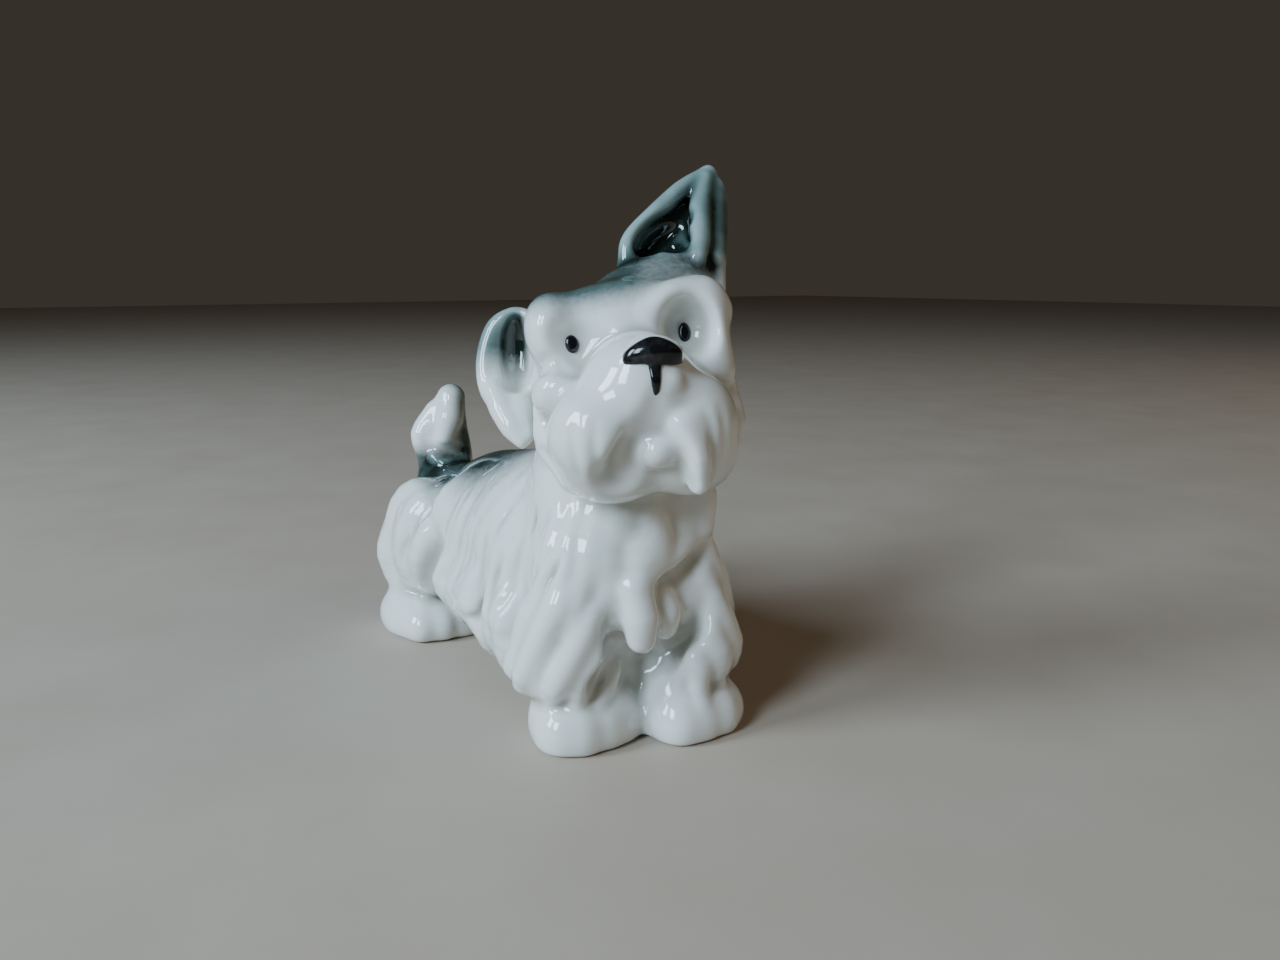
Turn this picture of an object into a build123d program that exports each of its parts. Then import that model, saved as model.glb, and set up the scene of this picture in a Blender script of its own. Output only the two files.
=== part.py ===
"""Porcelain figurine of a standing long-haired terrier.

The dog stands on four flat soles on the plane z = 0 and faces -Y, so its right side is at -X.
Hollow slip castings (torso, head) and solid ones (muzzle, ears, tail, legs) are luted together
face to face. The eyes and the nose are thin pads of fired enamel. All sizes are in millimetres.
"""

import os

from build123d import *

# ---- driving dimensions --------------------------------------------------------------------

wall = 2.6                      # wall of the hollow castings
pin_hole_radius = 1.2           # air passage between the two hollow castings
neck_pin_hole = (1.0, -18.0, 25.0)      # from the torso's hollow up into the head's
neck_pin_hole_length = 20.0
vent_radius = 1.5               # hole under the belly that lets the air out in the kiln
vent_y = 4.0
vent_reach = 12.0
enamel = 0.35                   # height of the painted eyes and nose above the glaze

# The torso is a row of upright ellipses: (y, centre height, half width, half height).
torso_stations = (
    (-31.6, 23.0, 7.5, 10.0),
    (-26.4, 22.8, 11.2, 14.6),
    (-17.4, 22.2, 12.9, 17.4),
    (-5.4, 20.6, 12.6, 16.6),
    (8.6, 18.6, 12.6, 14.6),
    (21.6, 17.2, 13.2, 12.4),
    (31.6, 16.6, 12.4, 10.6),
    (39.3, 16.0, 8.6, 7.4),
)
torso_end_round = 3.6           # fillet round the chest and the rump
body_x = 0.8                    # the body's middle plane: the folded ear juts out on the other side

# The head turns to the dog's right, looks up, and is cocked to its right.
head_centre = (1.2, -22.4, 45.2)
head_yaw = -30.0
head_pitch = -18.0
head_roll = -6.0
skull_radius = 11.9

# The moustache and beard: one wide form and a drooping lobe on each side (head's own frame).
muzzle_centre = (0.6, -7.8, -5.6)
muzzle_half_width = 10.0
muzzle_radius = 8.3
lobe_centre = (4.8, -7.4, -9.4)
lobe_radius = 6.1

# Ears, in the head's own frame: the pricked one is a plate with a scooped front.
ear_base = ((12.4, 6.0), (-1.0, 7.0))
ear_edge = ((-1.0, 7.0), (0.8, 15.0), (5.4, 20.6), (12.6, 24.8))
ear_outer_edge = ((12.6, 24.8), (14.2, 17.0), (12.4, 6.0))
ear_front = -2.2
ear_depth = 4.6
scoop_radius = 5.4
scoop_centre = (7.4, -5.4, 14.6)
flap_centre = (-14.7, 1.4, 1.6)
flap_radius = 4.4
flap_half_length = 8.8
fold_centre = (-12.2, 1.2, 8.2)
fold_radius = 4.0

# Tail: level round sections (y, z, radius) from the rump to the tip.
tail_stations = (
    (32.6, 20.0, 4.0),
    (34.2, 26.0, 4.1),
    (34.0, 32.0, 3.9),
    (33.0, 39.4, 2.6),
)
tail_tip_round = 1.8

# Legs: level ellipses (z, half width, half length, shift outwards, shift rearwards).
foreleg_x = 6.4
foreleg_right_y = -20.8
foreleg_left_y = -26.0
foreleg_stations = (
    (0.0, 6.4, 6.2, 0.0, 0.0),
    (2.4, 7.0, 7.2, 0.1, 0.0),
    (5.4, 6.8, 6.2, 0.1, 0.6),
    (9.0, 7.3, 6.6, 0.5, 1.0),
    (16.0, 7.2, 6.8, 0.4, 1.6),
    (22.0, 5.4, 5.2, -0.8, 3.6),
)
hindleg_x = 8.4
hindleg_y = 26.4
hindleg_stations = (
    (0.0, 5.6, 8.0, 0.0, 0.0),
    (3.0, 6.4, 8.8, 0.0, 0.0),
    (6.6, 5.2, 7.4, -0.2, 0.8),
    (12.0, 5.8, 8.4, -0.4, 1.8),
    (19.0, 4.0, 6.0, -1.0, 1.0),
)

# Enamel, in the head's own frame.
eye_x = 6.3
eye_z = 4.6
eye_half_width = 0.85
eye_half_height = 1.15
nose_x = 0.9                    # the nose sits a little to the dog's left of the middle
nose_z = -0.2
nose_half_width = 3.3
nose_half_height = 1.6
stroke_width = 1.1
stroke_length = 3.4
enamel_reach = 22.0             # the enamel's outlines are cut through from here to the skin

# ---- places --------------------------------------------------------------------------------

head_place = (
    Location(head_centre)
    * Rotation(0, 0, head_yaw)
    * Rotation(head_pitch, 0, 0)
    * Rotation(0, head_roll, 0)
)


def head_front(distance):
    """The upright plane across the head, this far behind the head's centre, facing the front."""
    return Plane(head_place * Plane.XZ.offset(-distance).location)


# ---- forms ---------------------------------------------------------------------------------


def spheroid(centre, radius, half_length, along_z=False, grow=0.0):
    """A solid of revolution of the head: an ellipse turned about its long or short axis.

    The axis lies across the head, or upright where along_z is true. grow moves the skin outwards.
    """
    with BuildPart() as form:
        with BuildSketch(Plane.XZ):
            Ellipse(half_length + grow, radius + grow)
            with Locations((0, -half_length - radius)):
                Rectangle(4 * half_length, 2 * (half_length + radius), mode=Mode.SUBTRACT)
        revolve(axis=Axis.X)
    turn = Rotation(0, 90, 0) if along_z else Rotation(0, 0, 0)
    return form.part.moved(head_place * Location(centre) * turn)


def skull(grow):
    """The skull's form, a ball, with its skin moved outwards by grow."""
    with BuildPart() as form:
        Sphere(skull_radius + grow)
    return form.part.moved(head_place)


def muzzle_loaf(grow):
    """The muzzle's form before it is seated on the skull: a wide form and two lobes."""
    x, y, z = lobe_centre
    loaf = spheroid(muzzle_centre, muzzle_radius, muzzle_half_width, grow=grow)
    loaf += spheroid((-x, y, z), lobe_radius, lobe_radius, grow=grow)
    loaf += spheroid((x, y, z), lobe_radius, lobe_radius, grow=grow)
    return loaf


def torso_loft(inset):
    """The torso's form with its skin moved inwards by inset."""
    chest_y = torso_stations[0][0] + inset
    rump_y = torso_stations[-1][0] - inset
    with BuildPart() as form:
        for y, height, half_width, half_height in torso_stations:
            with BuildSketch(Plane.XZ.offset(-min(max(y, chest_y), rump_y))):
                with Locations((body_x, height)):
                    Ellipse(half_width - inset, half_height - inset)
        loft()
        fillet(form.faces().filter_by(GeomType.PLANE).edges(), torso_end_round)
    return form.part


def leg_loft(stations, x, y, side):
    """An upright leg: side is -1 on the dog's right and +1 on its left."""
    with BuildPart() as form:
        for z, half_width, half_length, outwards, rearwards in stations:
            with BuildSketch(Plane.XY.offset(z)):
                with Locations((body_x + side * (x + outwards), y + rearwards)):
                    Ellipse(half_width, half_length)
        loft()
    return form.part


def save(piece, name):
    """Name a finished piece and write it to its own file."""
    piece.part.label = name
    export_step(piece.part, f"parts/{name}.step")


os.makedirs("parts", exist_ok=True)

torso_form = torso_loft(0)
skull_form = skull(0)
skull_clear = skull(wall)
muzzle_form = muzzle_loaf(0)

# ---- torso ---------------------------------------------------------------------------------

torso_hollow = torso_loft(wall) - skull_clear
with BuildPart() as torso:
    add(torso_form)
    add(skull_form, mode=Mode.SUBTRACT)
    add(torso_hollow, mode=Mode.SUBTRACT)
    with BuildSketch(Plane.XY):
        with Locations((body_x, vent_y)):
            Circle(vent_radius)
    extrude(amount=vent_reach, mode=Mode.SUBTRACT)
    with BuildSketch(Plane.XY.offset(neck_pin_hole[2])):
        with Locations(neck_pin_hole[:2]):
            Circle(pin_hole_radius)
    extrude(amount=neck_pin_hole_length, mode=Mode.SUBTRACT)
save(torso, "torso")

# ---- head ----------------------------------------------------------------------------------

skull_hollow = skull(-wall)
with BuildPart() as head:
    add(skull_form)
    add(skull_hollow, mode=Mode.SUBTRACT)
    with BuildSketch(Plane.XY.offset(neck_pin_hole[2])):
        with Locations(neck_pin_hole[:2]):
            Circle(pin_hole_radius)
    extrude(amount=neck_pin_hole_length, mode=Mode.SUBTRACT)
save(head, "head")

# ---- muzzle --------------------------------------------------------------------------------

with BuildPart() as muzzle:
    add(muzzle_form)
    add(skull_form, mode=Mode.SUBTRACT)
    add(torso_form, mode=Mode.SUBTRACT)
save(muzzle, "muzzle")

# ---- ears ----------------------------------------------------------------------------------

with BuildPart() as scoop:
    Sphere(scoop_radius)

with BuildPart() as ear_pricked:
    with BuildSketch(head_front(ear_front + ear_depth)):
        with BuildLine():
            Line(*ear_base)
            Spline(*ear_edge)
            Spline(*ear_outer_edge)
        make_face()
    extrude(amount=ear_depth)
    add(scoop.part.moved(head_place * Location(scoop_centre)), mode=Mode.SUBTRACT)
    add(skull_form, mode=Mode.SUBTRACT)
save(ear_pricked, "ear_pricked")

with BuildPart() as ear_folded:
    add(spheroid(flap_centre, flap_radius, flap_half_length, along_z=True))
    add(spheroid(fold_centre, fold_radius, fold_radius))
    add(skull_form, mode=Mode.SUBTRACT)
save(ear_folded, "ear_folded")

# ---- tail ----------------------------------------------------------------------------------

with BuildPart() as tail:
    for y, z, radius in tail_stations:
        with BuildSketch(Plane.XY.offset(z)):
            with Locations((body_x, y)):
                Circle(radius)
    loft()
    fillet(tail.faces().sort_by(Axis.Z)[-1].edges(), tail_tip_round)
    add(torso_form, mode=Mode.SUBTRACT)
save(tail, "tail")

# ---- legs ----------------------------------------------------------------------------------

for name, y, side, kept_half in (
    ("foreleg_right", foreleg_right_y, -1, Keep.BOTTOM),
    ("foreleg_left", foreleg_left_y, 1, Keep.TOP),
):
    with BuildPart() as foreleg:
        add(leg_loft(foreleg_stations, foreleg_x, y, side))
        split(bisect_by=Plane.YZ.offset(body_x), keep=kept_half)
        add(torso_form, mode=Mode.SUBTRACT)
    save(foreleg, name)

for name, side in (("hindleg_right", -1), ("hindleg_left", 1)):
    with BuildPart() as hindleg:
        add(leg_loft(hindleg_stations, hindleg_x, hindleg_y, side))
        add(torso_form, mode=Mode.SUBTRACT)
    save(hindleg, name)

# ---- enamel --------------------------------------------------------------------------------

for name, x in (("eye_right", -eye_x), ("eye_left", eye_x)):
    with BuildPart() as eye:
        with BuildSketch(head_front(0)):
            with Locations((x, eye_z)):
                Ellipse(eye_half_width, eye_half_height)
        extrude(amount=enamel_reach)
        add(skull(enamel), mode=Mode.INTERSECT)
        add(skull_form, mode=Mode.SUBTRACT)
    save(eye, name)

with BuildPart() as nose:
    with BuildSketch(head_front(0)):
        with Locations((nose_x, nose_z)):
            Ellipse(nose_half_width, nose_half_height)
        with Locations((nose_x, nose_z - stroke_length / 2)):
            SlotCenterToCenter(stroke_length, stroke_width, rotation=90)
    extrude(amount=enamel_reach)
    add(muzzle_loaf(enamel), mode=Mode.INTERSECT)
    add(muzzle_form, mode=Mode.SUBTRACT)
    add(skull_form, mode=Mode.SUBTRACT)
save(nose, "nose")
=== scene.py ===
"""Looks of the porcelain terrier, built around its packed castings.

The visible skin is modelled like clay: one signed distance field in millimetres, in the part's own
frame, made of eggs, limbs and fur locks that melt into each other. The field is turned into one
closed skin, and the skin is cut into the castings it was luted from. The enamel eyes and nose are
thin pads that follow the skin.
"""

import math

import bpy
import numpy as np
from mathutils import Matrix, Vector


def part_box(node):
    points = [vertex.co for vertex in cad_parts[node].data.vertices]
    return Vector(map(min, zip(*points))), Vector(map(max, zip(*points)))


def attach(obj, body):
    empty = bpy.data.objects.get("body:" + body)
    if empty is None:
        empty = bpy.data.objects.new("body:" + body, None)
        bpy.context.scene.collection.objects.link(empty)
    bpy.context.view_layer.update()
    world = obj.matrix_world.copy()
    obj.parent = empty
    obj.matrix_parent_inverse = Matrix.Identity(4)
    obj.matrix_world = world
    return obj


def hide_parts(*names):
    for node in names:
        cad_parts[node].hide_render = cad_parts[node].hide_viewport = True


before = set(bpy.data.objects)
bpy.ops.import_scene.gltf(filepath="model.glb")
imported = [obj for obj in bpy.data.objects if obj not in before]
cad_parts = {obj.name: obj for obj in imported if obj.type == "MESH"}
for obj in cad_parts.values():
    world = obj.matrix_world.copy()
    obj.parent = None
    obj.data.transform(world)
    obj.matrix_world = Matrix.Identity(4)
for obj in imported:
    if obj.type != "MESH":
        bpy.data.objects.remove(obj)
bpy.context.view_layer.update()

MM = 0.001
STEP = 0.34          # spacing of the clay's grid, in millimetres
rng = np.random.default_rng(7)

# ---- places --------------------------------------------------------------------------------


def turn(axis, degrees):
    """A rotation matrix about one axis of the frame."""
    return np.array(Matrix.Rotation(math.radians(degrees), 3, axis))


def middle(node):
    """The middle of a casting's box, in millimetres."""
    low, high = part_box(node)
    return (np.array(low) / MM + np.array(high) / MM) / 2


HEAD = middle("head")
HEAD_TURN = turn("Z", -30) @ turn("X", -18) @ turn("Y", -6)
MID = middle("torso")[0]                    # the body's middle plane
FORELEG_Y = {-1: middle("foreleg_right")[1], 1: middle("foreleg_left")[1]}
HINDLEG_Y = {-1: middle("hindleg_right")[1], 1: middle("hindleg_left")[1]}


def head(*points):
    """Points of the head's own frame (face to -Y, crown to +Z), in the part's frame."""
    return HEAD + np.array(points, float) @ HEAD_TURN.T


# ---- clay ----------------------------------------------------------------------------------


class Egg:
    """An ellipsoid with its own turn."""

    def __init__(self, centre, radii, rotation=None):
        self.centre = np.array(centre, float).reshape(3)
        self.radii = np.array(radii, float)
        self.rotation = np.eye(3) if rotation is None else rotation
        reach = np.sqrt((self.rotation**2) @ self.radii**2)
        self.low, self.high = self.centre - reach, self.centre + reach

    def distance(self, x, y, z):
        """About how far each point is from the skin, negative inside."""
        x, y, z = x - self.centre[0], y - self.centre[1], z - self.centre[2]
        near, far = 0.0, 0.0
        for column, radius in zip(self.rotation.T, self.radii):
            along = (x * column[0] + y * column[1] + z * column[2]) / radius
            near = near + along**2
            far = far + (along / radius) ** 2
        near = np.sqrt(near)
        return near * (near - 1) / np.maximum(np.sqrt(far), 1e-6)


def smooth_path(points, count):
    """Evenly numbered points on a Catmull-Rom curve through the given ones."""
    p = np.array(points, float)
    p = np.vstack([2 * p[0] - p[1], p, 2 * p[-1] - p[-2]])
    spans = len(p) - 3
    u = np.linspace(0, spans, count)
    i = np.minimum(u.astype(int), spans - 1)
    t = (u - i)[:, None]
    a, b, c, d = p[i], p[i + 1], p[i + 2], p[i + 3]
    return 0.5 * (2 * b + (c - a) * t + (2 * a - 5 * b + 4 * c - d) * t**2 + (3 * b - a - 3 * c + d) * t**3)


class Limb:
    """A round limb or lock along a smooth path, with a radius for each given point."""

    def __init__(self, points, radii, detail=None):
        points = np.array(points, float)
        count = detail or (2 if len(points) == 2 else 4 * (len(points) - 1) + 1)
        self.path = smooth_path(points, count) if len(points) > 2 else points
        radii = np.broadcast_to(np.array(radii, float), (len(points),))
        self.radius = np.interp(np.linspace(0, 1, len(self.path)), np.linspace(0, 1, len(radii)), radii)
        reach = self.radius.max()
        self.low, self.high = self.path.min(0) - reach, self.path.max(0) + reach

    def distance(self, x, y, z):
        """How far each point is from the skin, negative inside."""
        best = None
        for a, b, ra, rb in zip(self.path, self.path[1:], self.radius, self.radius[1:]):
            ab = b - a
            px, py, pz = x - a[0], y - a[1], z - a[2]
            t = np.clip((px * ab[0] + py * ab[1] + pz * ab[2]) / max(ab @ ab, 1e-9), 0, 1)
            gap = np.sqrt((px - t * ab[0]) ** 2 + (py - t * ab[1]) ** 2 + (pz - t * ab[2]) ** 2)
            gap -= ra + (rb - ra) * t
            best = gap if best is None else np.minimum(best, gap)
        return best


def soft_min(a, b, k):
    """The smaller of two fields, rounded where they meet over a width k."""
    h = np.maximum(k - np.abs(a - b), 0) / max(k, 1e-6)
    return np.minimum(a, b) - h * h * k * 0.25


class Clay:
    """A signed distance field on a grid: negative inside."""

    FAR = 6.0                   # the value of empty space
    JUST_INSIDE = -0.02         # the value of a grid node that mend() fills

    def __init__(self, low, high, step):
        self.low, self.step = np.array(low, float), step
        self.axes = [np.arange(a, b + step, step, dtype=np.float32) for a, b in zip(low, high)]
        self.value = np.full([len(a) for a in self.axes], self.FAR, np.float32)

    def copy(self):
        """The clay as it is now."""
        other = Clay.__new__(Clay)
        other.low, other.step, other.axes, other.value = self.low, self.step, self.axes, self.value.copy()
        return other

    def window(self, shape, margin):
        """The slices of the grid round a shape, and their coordinates."""
        cut = []
        for axis, low, high in zip(self.axes, shape.low - margin, shape.high + margin):
            cut.append(slice(*np.searchsorted(axis, [low, high])))
        x, y, z = (axis[c] for axis, c in zip(self.axes, cut))
        return tuple(cut), x[:, None, None], y[None, :, None], z[None, None, :]

    def add(self, shape, blend):
        """Adds a shape that melts into the clay over a width."""
        cut, x, y, z = self.window(shape, blend + 3)
        self.value[cut] = soft_min(self.value[cut], shape.distance(x, y, z).astype(np.float32), blend)

    def cut(self, shape, blend):
        """Takes a shape away, with rounded edges."""
        cut, x, y, z = self.window(shape, blend + 1)
        self.value[cut] = -soft_min(-self.value[cut], shape.distance(x, y, z).astype(np.float32), blend)

    def blur(self, rounds):
        """Softens every edge a little more with each round."""
        for _ in range(rounds):
            for axis in range(3):
                v = np.moveaxis(self.value, axis, 0)
                v[1:-1] = 0.25 * v[:-2] + 0.5 * v[1:-1] + 0.25 * v[2:]

    def sample(self, points):
        """The field at points, between grid nodes."""
        g = (np.asarray(points) - self.low) / self.step
        g = np.clip(g, 0, np.array(self.value.shape) - 1.001)
        i = g.astype(int)
        f = g - i
        total = 0
        for dx in (0, 1):
            for dy in (0, 1):
                for dz in (0, 1):
                    w = np.abs(1 - dx - f[:, 0]) * np.abs(1 - dy - f[:, 1]) * np.abs(1 - dz - f[:, 2])
                    total = total + w * self.value[i[:, 0] + dx, i[:, 1] + dy, i[:, 2] + dz]
        return total

    def slope(self, points, reach=None):
        """The outward direction at points, felt over a reach to either side."""
        reach = reach or self.step
        points = np.asarray(points)
        out = np.empty_like(points)
        for axis in range(3):
            shift = np.zeros(3)
            shift[axis] = reach
            out[:, axis] = self.sample(points + shift) - self.sample(points - shift)
        return out / np.maximum(np.linalg.norm(out, axis=1, keepdims=True), 1e-9)

    def snap(self, points, sink):
        """Moves points onto the skin, or to a depth below it."""
        points = np.array(points, float)
        for _ in range(6):
            points = points - (self.sample(points) + sink)[:, None] * self.slope(points, 0.8)
        return points

    def mend(self):
        """Fills the grid's diagonal contacts, which would pinch the skin."""
        for _ in range(12):
            inside, wrong = self.value < 0, 0
            for u, w in ((0, 1), (0, 2), (1, 2)):
                a = [slice(None)] * 3
                b, c, d = a.copy(), a.copy(), a.copy()
                a[u], a[w] = slice(0, -1), slice(0, -1)
                b[u], b[w] = slice(1, None), slice(1, None)
                c[u], c[w] = slice(0, -1), slice(1, None)
                d[u], d[w] = slice(1, None), slice(0, -1)
                ia, ib, ic, id_ = (inside[tuple(k)] for k in (a, b, c, d))
                for bad, fill in (((ia & ib & ~ic & ~id_), c), ((~ia & ~ib & ic & id_), a)):
                    if bad.any():
                        wrong += int(bad.sum())
                        view = self.value[tuple(fill)]
                        view[bad] = self.JUST_INSIDE
            if not wrong:
                break

    def skin(self):
        """The zero surface as (vertices, quads), closed."""
        v = self.value
        inside = v < 0
        n = np.array(v.shape) - 1
        corners = [(dx, dy, dz) for dx in (0, 1) for dy in (0, 1) for dz in (0, 1)]
        count = np.zeros(n, np.int8)
        for dx, dy, dz in corners:
            count += inside[dx : n[0] + dx, dy : n[1] + dy, dz : n[2] + dz]
        cells = np.argwhere((count > 0) & (count < 8))
        number = np.full(n, -1, np.int32)
        number[tuple(cells.T)] = np.arange(len(cells))
        total, hits = np.zeros((len(cells), 3)), np.zeros(len(cells))
        for a in corners:
            for axis in range(3):
                if a[axis]:
                    continue
                b = list(a)
                b[axis] = 1
                va, vb = v[tuple((cells + a).T)], v[tuple((cells + b).T)]
                cross = (va < 0) != (vb < 0)
                t = np.where(cross, va / np.where(cross, va - vb, 1), 0)
                place = np.array(a, float)[None].repeat(len(cells), 0)
                place[:, axis] = t
                total += place * cross[:, None]
                hits += cross
        verts = self.low + (cells + total / hits[:, None]) * self.step
        quads = []
        for axis in range(3):
            u, w = (axis + 1) % 3, (axis + 2) % 3
            low = [slice(None)] * 3
            high = [slice(None)] * 3
            low[axis], high[axis] = slice(0, -1), slice(1, None)
            edges = np.argwhere(inside[tuple(low)] != inside[tuple(high)])
            keep = (edges[:, u] > 0) & (edges[:, w] > 0) & (edges[:, u] < n[u]) & (edges[:, w] < n[w])
            edges = edges[keep]
            ring = []
            for du, dw in ((1, 1), (0, 1), (0, 0), (1, 0)):
                cell = edges.copy()
                cell[:, u] -= du
                cell[:, w] -= dw
                ring.append(number[tuple(cell.T)])
            ring = np.stack(ring, 1)
            outward = inside[tuple(edges.T)]
            ring[~outward] = ring[~outward][:, ::-1]
            quads.append(ring)
        return verts, np.vstack(quads)


clay = Clay((-21, -42.5, -2), (21, 42.5, 73), STEP)

# ---- body ----------------------------------------------------------------------------------


def on_body(side, *points):
    """Points given outwards from the body's middle plane: side is -1 on the dog's right, +1 on its left."""
    return [(MID + side * x, y, z) for x, y, z in points]


def body_egg(x, y, z, radii, blend, tilt=None, side=1):
    """Adds an egg to the body."""
    clay.add(Egg(on_body(side, (x, y, z))[0], radii, tilt), blend)


def body_limb(points, radii, blend, side=1):
    """Adds a limb to the body."""
    clay.add(Limb(on_body(side, *points), radii), blend)


body_egg(0, -18.5, 22.0, (10.6, 10.6, 13.0), 1)                         # chest
body_egg(0, -16.5, 33.0, (9.2, 9.0, 8.5), 4)                            # neck
body_egg(0, -5.0, 20.0, (11.4, 13.5, 13.2), 4)                          # ribs
body_egg(0, 9.0, 20.2, (10.4, 13.0, 10.6), 4)                           # loins
body_egg(0, 25.0, 16.2, (10.4, 12.4, 9.6), 4)                           # rump
body_limb([(0, -12, 28.6), (0, 4, 26.0), (0, 18, 22.6), (0, 32, 19.4)], (5.6, 6.2, 6.0, 5.4), 4)
body_limb([(0, -18.6, 14), (0, -19.4, 2.5)], (4.6, 5.4), 2.0)           # web between the forelegs
for side in (-1, 1):
    body_egg(7.4, 25.4, 15.8, (5.4, 9.4, 9.6), 1.6, turn("X", -14), side)       # thigh
    body_egg(6.2, 31.8, 13.4, (6.4, 5.8, 7.2), 2, turn("X", 12), side)          # back of the thigh

# ---- legs ----------------------------------------------------------------------------------


def model_foreleg(y, side):
    """An upper arm, a fringe over the paw, and a broad paw with four toes."""
    slim = 0.6 * (side > 0)
    arm = [(6.4, 0.4 * y - 13.4, 24), (7.4, 0.75 * y - 5.6, 17), (7.6, y + 0.4, 11.4)]
    body_limb(arm, (5.0 - slim, 6.0 - slim, 6.5), 2.0, side)
    body_egg(8.2, y + 1.8, 9.0, (6.3, 6.2, 4.4), 1.2, side=side)
    body_limb([(6.4, y + 1.0, 8), (6.2, y + 0.6, 4)], (5.6, 5.8), 0.8, side)
    body_egg(8.6, y - 0.6, 2.0, (4.7, 6.0, 4.8), 1.2, side=side)
    body_egg(4.2, y - 0.8, 2.0, (4.6, 6.1, 4.6), 2.0, side=side)
    for across, forward in ((2.6, 3.4), (5.8, 4.0), (8.8, 3.9), (11.2, 2.4)):
        body_egg(across, y - forward, 2.0, (2.3, 2.9, 3.2), 1.5, side=side)


def model_hindleg(y, side):
    """A hock over a long foot with three toes."""
    body_limb([(7.8, y + 3.0, 12), (7.4, y + 2.2, 5)], (5.0, 4.8), 2.0, side)
    body_egg(8.8, y + 0.2, 2.4, (5.8, 8.2, 5.0), 1.2, side=side)
    body_egg(5.0, y - 1.6, 1.8, (5.4, 6.8, 3.8), 2.0, side=side)
    for toe in (-1, 0, 1):
        clay.add(Egg((MID + side * 7.6 + toe * 3.1, y - 6.9 + 1.0 * abs(toe), 2.2), (2.2, 3.0, 2.7)), 1.8)
    body_egg(3.6, y - 4.0, 1.6, (3.6, 5.4, 4.4), 1.6, side=side)


for side in (-1, 1):
    model_foreleg(FORELEG_Y[side], side)
for side in (-1, 1):
    model_hindleg(HINDLEG_Y[side], side)

# ---- fur -----------------------------------------------------------------------------------


def refine(points, radii, fade_at, fade_to):
    """A smooth path three times as fine, its radii, and a factor that fades towards both ends."""
    points = smooth_path(points, 3 * len(points))
    t = np.linspace(0, 1, len(points))
    radii = np.interp(t, np.linspace(0, 1, len(radii)), radii)
    return points, radii, np.interp(t, fade_at, fade_to)


def lock(points, radii, rise, blend, hang=0):
    """A lock of fur laid on the skin kept in base: rise is how far it stands out.

    The last hang points stay where they are given instead of being laid on the skin.
    """
    given = len(points)
    points, radii, fade = refine(points, radii, (0, 0.3, 0.8, 1), (-0.6, 1, 1, 0.4))
    laid = base.snap(points, radii - rise * fade)
    if hang:
        free = np.clip(np.linspace(0, given, len(points)) - (given - hang - 1), 0, 1)[:, None]
        laid = laid * (1 - free) + points * free
    clay.add(Limb(laid, radii, len(laid)), blend)


def furrow(points, radii, depth, blend):
    """A furrow drawn into the skin as it is now."""
    points, radii, fade = refine(points, radii, (0, 0.3, 0.7, 1), (-0.5, 1, 1, -0.5))
    laid = clay.snap(points, depth * fade - radii)
    clay.cut(Limb(laid, radii, len(laid)), blend)


def comb_flank(side):
    """Long locks that fall from the spine to the hem of the coat, and the furrows between them."""
    for y in (-13.0, -9.6, -4.6, -0.4, 2.6, 6.4):
        sway = rng.uniform(-0.8, 0.8, 4)
        hem = 6.8 + 0.16 * (y + 13) + rng.uniform(-0.6, 0.6)
        path = [(6.2, y - 3.0 + sway[0], 30), (9.4, y - 0.6 + sway[1], 26.5), (11.4, y + 1.6 + sway[2], 21.0),
                (11.4, y + 3.2 + sway[3], 14.0), (9.6, y + 3.8, hem)]
        width = rng.uniform(1.7, 3.1)
        rise = rng.uniform(0.2, 0.75)
        lock(on_body(side, *path), (0.8, width, width, width, 1.4), rise, blend=1.7, hang=1)
    path = on_body(side, (12.0, -10.5, 20), (12.2, -9.6, 13), (10.8, -8.8, 8.6), (9.0, -8.6, 5.0))
    lock(path, (1.4, 2.4, 2.1, 1.3), rise=0.6, blend=1.2, hang=1)
    path = on_body(side, (12.0, -4.5, 20), (12.0, -3.6, 13), (10.6, -3.0, 9.0), (9.2, -2.6, 6.2))
    lock(path, (1.4, 2.2, 2.0, 1.3), rise=0.5, blend=1.2, hang=1)
    body_limb([(9.2, -13, 9.0), (9.6, -3, 10.2), (9.4, 8, 12.0)], (1.9, 2.2, 1.9), 2.4, side)
    for y in (-13.2, -9.6, -5.0, -1.8, 2.6, 6.4, 9.4):
        top, drop = rng.uniform(23, 29.5), rng.uniform(9, 15)
        lean = rng.uniform(1.8, 4.2)
        path = [(10.5, y, top), (11.6, y + 0.5 * lean, top - 0.5 * drop), (11.6, y + lean, top - drop)]
        furrow(on_body(side, *path), (0.4, 0.9, 0.4), depth=rng.uniform(0.25, 0.45), blend=0.9)


def comb_thigh(side):
    """A raised front edge and broad locks behind it."""
    path = on_body(side, (5.0, 11.0, 29), (9.2, 14.2, 24.5), (11.5, 17.4, 18.0), (11.8, 20.5, 10.5))
    lock(path, (1.6, 2.4, 2.5, 1.6), rise=1.5, blend=1.0)
    for y in (21.5, 28.5):
        path = on_body(side, (6.0, y - 3, 27), (11.0, y, 22), (13.4, y + 2.4, 15), (12.4, y + 3.0, 9.0))
        lock(path, (1.4, 2.8, 3.0, 1.6), rise=0.7, blend=1.2)


def comb_shoulder(side):
    """Locks that sweep from the neck to the upper arm."""
    for start in (0.0, 2.3, 4.6):
        path = [(7.5 - 0.3 * start, -19.5 - start * 1.1, 34), (10.2 - 0.4 * start, -21 - start * 1.2, 28),
                (11.6 - 0.5 * start, -21.5 - start * 1.1, 22), (12.6 - 0.5 * start, -20.0 - start, 16)]
        lock(on_body(side, *path), (1.0, 1.6, 1.7, 1.0), rise=0.55, blend=0.6)


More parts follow.
